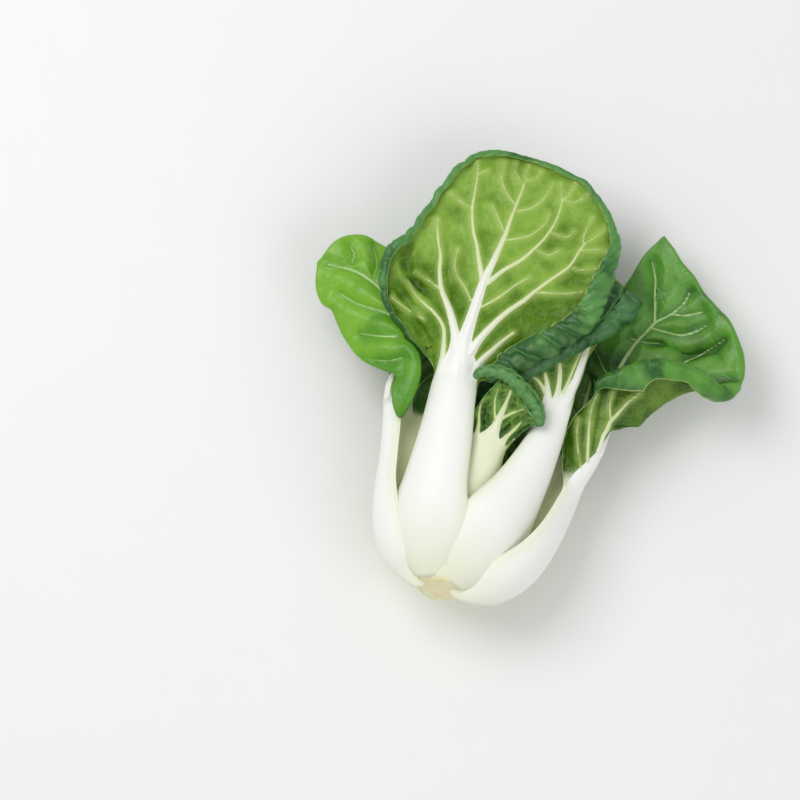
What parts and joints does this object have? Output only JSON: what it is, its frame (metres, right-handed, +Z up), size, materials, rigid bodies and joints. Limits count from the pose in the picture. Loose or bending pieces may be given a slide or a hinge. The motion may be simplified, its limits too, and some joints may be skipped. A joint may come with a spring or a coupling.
{
  "type": "bok choy",
  "caption": "Head of baby bok choy lying on its back: broad white stalks fan from a trimmed stem butt into green, strongly veined leaves with rolled margins around a crumpled heart.",
  "frame": {"origin": "middle of the bounding box at the surface the head lies on", "axes": "+Z up, away from that surface; +Y along the head, from the cut stem butt to the leaf tips; +X to the right of a viewer who looks down on the head with its tips away from them"},
  "size_m": [0.1986, 0.2018, 0.0581],
  "materials": {
    "cut_stem": "matte cut face, tan with small brown specks, yellow-green at its edge",
    "pale_underside": "satin light green leaf underside with white raised veins and a white stalk",
    "white_stalk": "satin white stalk under a dark green blade",
    "bright_leaf": "satin bright green leaf with pale veins and a white stalk",
    "dark_leaf": "satin dark green leaf with pale veins and a pale stalk",
    "heart_leaf": "satin crumpled dark green leaf with a pale stalk"
  },
  "bodies": {
    "root": {"stem_butt": "cut_stem", "heart_bud": "heart_leaf", "front_leaf": "pale_underside", "front_right_leaf": "white_stalk", "left_outer_leaf": "bright_leaf", "right_outer_leaf": "dark_leaf", "back_left_leaf": "dark_leaf", "back_right_leaf": "dark_leaf", "back_leaf": "dark_leaf", "heart_leaf_front": "heart_leaf", "heart_leaf_left": "heart_leaf", "heart_leaf_right": "heart_leaf", "heart_leaf_back": "heart_leaf"}
  },
  "joints": []
}
